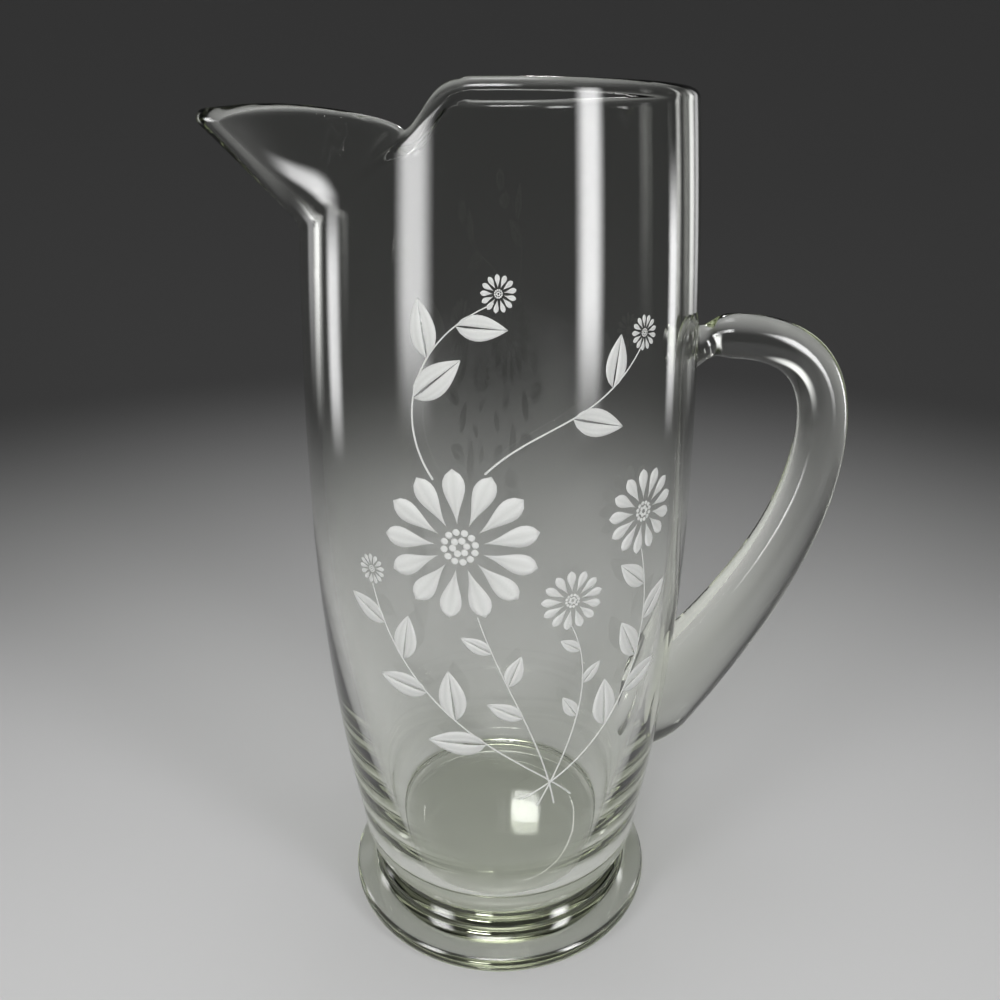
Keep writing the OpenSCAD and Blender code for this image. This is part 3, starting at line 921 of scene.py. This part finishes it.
def leaf_tree():
    """Leaves on alternate sides of each stem, smaller towards its tip, with the stems as thin round cuts."""
    tree, given, out = shape_tree("leafy_stems", [
        ("Leaf", "Object"), ("Leaf spacing", "Float"), ("Leaf width share", "Float"), ("Leaf spread", "Float"),
        ("Bare share", "Float"), ("Stem width", "Float")] + BARREL_INPUTS)

    def shrinking(share):
        return calc(tree, "SUBTRACT", 1.0, calc(tree, "MULTIPLY", along["Factor"], share))

    curve = node(tree, "GeometryNodeMeshToCurve", {"Mesh": given["Geometry"]}).outputs[0]
    spaced = node(tree, "GeometryNodeResampleCurve", {
        "Curve": curve, "Length": given["Leaf spacing"]}, mode="LENGTH").outputs[0]
    along = node(tree, "GeometryNodeSplineParameter").outputs
    way = split(tree, node(tree, "GeometryNodeInputTangent").outputs[0])
    every_second = calc(tree, "MODULO", along["Index"], 2.0)
    side = calc(tree, "SUBTRACT", calc(tree, "MULTIPLY", every_second, 2.0), 1.0)
    opened = calc(tree, "MULTIPLY", side, given["Leaf spread"])
    turn = calc(tree, "ADD", calc(tree, "ARCTAN2", way[1], way[0]), opened)
    full = node(tree, "GeometryNodeInputNamedAttribute", {"Name": "leaf_length"}, data_type="FLOAT").outputs[0]
    length = calc(tree, "MULTIPLY", full, shrinking(LEAF_SHRINK))
    scale = vector(tree, length, calc(tree, "MULTIPLY", length, given["Leaf width share"]), 1.0)
    above_bare = calc(tree, "GREATER_THAN", along["Factor"], given["Bare share"])
    chosen = calc(tree, "MULTIPLY", above_bare, calc(tree, "LESS_THAN", along["Factor"], LAST_LEAF))
    leaves = copies(tree, spaced, shape_of(tree, given["Leaf"]), turn, scale, chosen)
    fine = node(tree, "GeometryNodeResampleCurve", {"Curve": curve, "Count": STEM_ROWS}).outputs[0]
    section = node(tree, "GeometryNodeCurvePrimitiveCircle", {
        "Resolution": STEM_SIDES, "Radius": calc(tree, "MULTIPLY", given["Stem width"], 0.5)}).outputs[0]
    taper = shrinking(STEM_TAPER)
    stems = node(tree, "GeometryNodeCurveToMesh", {
        "Curve": fine, "Profile Curve": section, "Scale": taper, "Fill Caps": True}).outputs[0]
    both = tree.nodes.new("GeometryNodeJoinGeometry")
    tree.links.new(leaves, both.inputs[0])
    tree.links.new(stems, both.inputs[0])
    finish_tree(tree, lay_on_barrel(tree, given, both.outputs[0]), given["Material"], out)
    return tree


def daisy_tree():
    """Daisies on points: a ring of petals round two rings of dots, at each point's own size."""
    tree, given, out = shape_tree("daisies", [
        ("Petal", "Object"), ("Dot", "Object"), ("Petals", "Int"), ("Dots", "Int"), ("Petal width", "Float"),
        ("Eye share", "Float"), ("Dot share", "Float")] + BARREL_INPUTS)
    flower = tree.nodes.new("GeometryNodeJoinGeometry")

    def ring(count, radius, shape, scale):
        points = node(tree, "GeometryNodeMeshCircle", {"Vertices": count, "Radius": radius}).outputs[0]
        at = split(tree, node(tree, "GeometryNodeInputPosition").outputs[0])
        placed = copies(tree, points, shape, calc(tree, "ARCTAN2", at[1], at[0]), scale)
        tree.links.new(placed, flower.inputs[0])

    eye, dot_size = given["Eye share"], given["Dot share"]
    petal_scale = vector(tree, calc(tree, "SUBTRACT", 1.0, eye), given["Petal width"], 1.0)
    dot_scale = vector(tree, dot_size, dot_size, 1.0)
    dot = shape_of(tree, given["Dot"])
    ring(given["Petals"], eye, shape_of(tree, given["Petal"]), petal_scale)
    ring(given["Dots"], calc(tree, "MULTIPLY", eye, DOT_RING), dot, dot_scale)
    ring(INNER_DOTS, calc(tree, "MULTIPLY", eye, INNER_RING), dot, dot_scale)
    size = node(tree, "GeometryNodeInputNamedAttribute", {"Name": "size"}, data_type="FLOAT").outputs[0]
    spread = copies(tree, given["Geometry"], flower.outputs[0], DAISY_TURN, vector(tree, size, size, 1.0))
    finish_tree(tree, lay_on_barrel(tree, given, spread), given["Material"], out)
    return tree


def stem_mesh():
    """All stems as one mesh of joined points, with the leaf length that each carries."""
    points, edges, lengths = [], [], []
    for corners, leaf in STEMS:
        first = len(points)
        points += [(x, y, 0) for x, y in cubic(np.array(corners) * MM, np.linspace(0, 1, STEM_POINTS))]
        edges += [(i, i + 1) for i in range(first, len(points) - 1)]
        lengths += [leaf * MM] * STEM_POINTS
    mesh = bpy.data.meshes.new("stems")
    mesh.from_pydata(points, edges, [])
    mesh.attributes.new("leaf_length", "FLOAT", "POINT").data.foreach_set("value", lengths)
    return mesh


def point_mesh(name, places, sizes):
    mesh = bpy.data.meshes.new(name)
    mesh.from_pydata([(x * MM, y * MM, 0) for x, y in places], [], [])
    mesh.attributes.new("size", "FLOAT", "POINT").data.foreach_set("value", [size * MM for size in sizes])
    return mesh


def make_cuts():
    frost = cut_frost()
    leaf = blade_mesh("leaf", leaf_half, (1, -1), LEAF_RIB)
    petal = blade_mesh("petal", petal_half, (1,), 0)
    dot = dot_mesh("dot")
    leaves = grow("cut_leaves", stem_mesh(), leaf_tree(), Leaf=leaf, Leaf_spacing=LEAF_SPACING,
                  Leaf_width_share=LEAF_WIDTH_SHARE, Leaf_spread=LEAF_SPREAD, Bare_share=FIRST_LEAF,
                  Stem_width=STEM_WIDTH, Material=frost, **BARREL_SIZES)
    places = [place for place, _ in DAISIES] + BUDS
    sizes = [size for _, size in DAISIES] + [BUD_SIZE] * len(BUDS)
    daisies = grow("cut_daisies", point_mesh("daisy_places", places, sizes), daisy_tree(), Petal=petal, Dot=dot,
                   Petals=PETALS, Dots=DOTS, Petal_width=PETAL_WIDTH, Eye_share=EYE_SHARE, Dot_share=DOT_SHARE,
                   Material=frost, **BARREL_SIZES)
    for shape in (leaf, petal, dot):
        bpy.data.objects.remove(shape)
    return leaves, daisies


for piece in make_cuts():
    outward(piece)
    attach(piece, "root")


# Stage, light and camera

STAGE_SIDES = 96
STAGE_GAP = 0.2 * MM


def cove():
    """A round paper floor that sweeps up into a wall on every side."""
    flat, bend, top = 0.7, 0.9, 1.9
    turn = np.linspace(0, math.pi / 2, 40)
    outline = [(0, 0, 0)] + [(r, 0, 0) for r in np.linspace(0.05, flat, 12)]
    outline += [(flat + bend * math.sin(t), 0, bend * (1 - math.cos(t))) for t in turn[1:]]
    outline += [(flat + bend, 0, z) for z in np.linspace(bend, top, 6)[1:]]
    return [(x, y, z - STAGE_GAP) for x, y, z in outline]


# The stage's paper carries a painted pool of light round the object
stage = grow("stage", line_mesh("cove", cove()), LATHE, Sides=STAGE_SIDES, Material=stage_with_painted_light_pool())


# Parts of a softbox's width and height over which its light fades at each edge
SIDE_FADE, END_FADE = 0.4, 0.35


def softbox(name, azimuth, distance, height, width, tall, level, tilt=0, spread=180, through_glass=True):
    """A soft rectangular lamp turned to the object. Azimuth 0 is the camera's side, level is the lamp's
    brightness, spread is the angle to which a grid narrows its light, and through_glass says if the lamp
    itself is seen through the glass. Angles are in degrees."""
    lamp = bpy.data.lights.new(name, "AREA")
    lamp.shape = "RECTANGLE"
    lamp.size, lamp.size_y = width, tall
    lamp.spread = math.radians(spread)
    half = lamp.spread / 2
    gain = 1 if spread == 180 else math.tan(half) / (math.tan(half) - half)
    lamp.energy = math.pi * width * tall * level / (gain * (1 - SIDE_FADE) * (1 - END_FADE))
    lamp.use_nodes = True
    tree = lamp.node_tree
    across = split(tree, node(tree, "ShaderNodeNewGeometry").outputs["Parametric"])
    fades = []
    for place, margin in ((across[0], SIDE_FADE), (across[1], END_FADE)):
        inside = calc(tree, "MINIMUM", place, calc(tree, "SUBTRACT", 1.0, place))
        fades.append(node(tree, "ShaderNodeMapRange", {
            "Value": inside, "From Min": 0.0, "From Max": margin},
            interpolation_type="SMOOTHSTEP").outputs[0])
    tree.links.new(calc(tree, "MULTIPLY", *fades), tree.nodes["Emission"].inputs["Strength"])
    box = bpy.data.objects.new(name, lamp)
    turn = math.radians(azimuth)
    box.location = (distance * math.sin(turn), -distance * math.cos(turn), height)
    box.rotation_euler = (math.pi / 2 - math.radians(tilt), 0, turn)
    box.visible_transmission = through_glass
    scene.collection.objects.link(box)


# Each lamp's azimuth, distance and height, the width and height of its face, its level and its tilt
softbox("front_softbox", -12, 0.62, 0.62, 0.5, 0.3, 5.6, 36)
softbox("left_softbox", -50, 0.6, 0.26, 0.26, 0.5, 5.2, through_glass=False)
softbox("right_softbox", 42, 0.6, 0.26, 0.2, 0.5, 7.0, through_glass=False)
softbox("left_strip", -104, 0.5, 0.13, 0.14, 0.26, 4.0, spread=80, through_glass=False)
softbox("right_strip", 100, 0.5, 0.15, 0.1, 0.26, 4.0, spread=80, through_glass=False)
softbox("back_left_strip", -130, 0.6, 0.24, 0.16, 0.48, 0.6, spread=60)
softbox("back_right_strip", 135, 0.6, 0.24, 0.14, 0.48, 0.6, spread=60)
softbox("top_softbox", 180, 0.2, 1.6, 0.9, 0.9, 1.3, 85)
softbox("floor_glint", 170, 0.75, 0.68, 0.09, 0.06, 14.0, 41)

STUDIO_GREY = (0.1, 0.1, 0.1, 1)
world = bpy.data.worlds.new("studio")
world.use_nodes = True
world.node_tree.nodes["Background"].inputs["Color"].default_value = STUDIO_GREY
scene.world = world

# The camera that was fitted to the photograph. It is swung round the object's axis.
SWING = math.radians(5)
VIEW_DISTANCE, VIEW_HEIGHT, VIEW_PITCH = 0.2309, 0.2266, math.radians(22.2)
camera = bpy.data.cameras.new("camera")
camera.lens, camera.sensor_width = 30.96, 36
camera.clip_start = 0.01
viewer = bpy.data.objects.new("camera", camera)
viewer.location = (-VIEW_DISTANCE * math.sin(SWING), -VIEW_DISTANCE * math.cos(SWING), VIEW_HEIGHT)
viewer.rotation_euler = (math.pi / 2 - VIEW_PITCH, 0, -SWING)
scene.collection.objects.link(viewer)
scene.camera = viewer

scene.view_settings.view_transform = "Standard"
scene.cycles.max_bounces = 24
scene.cycles.transmission_bounces = 24
scene.cycles.glossy_bounces = 12
scene.cycles.transparent_max_bounces = 32
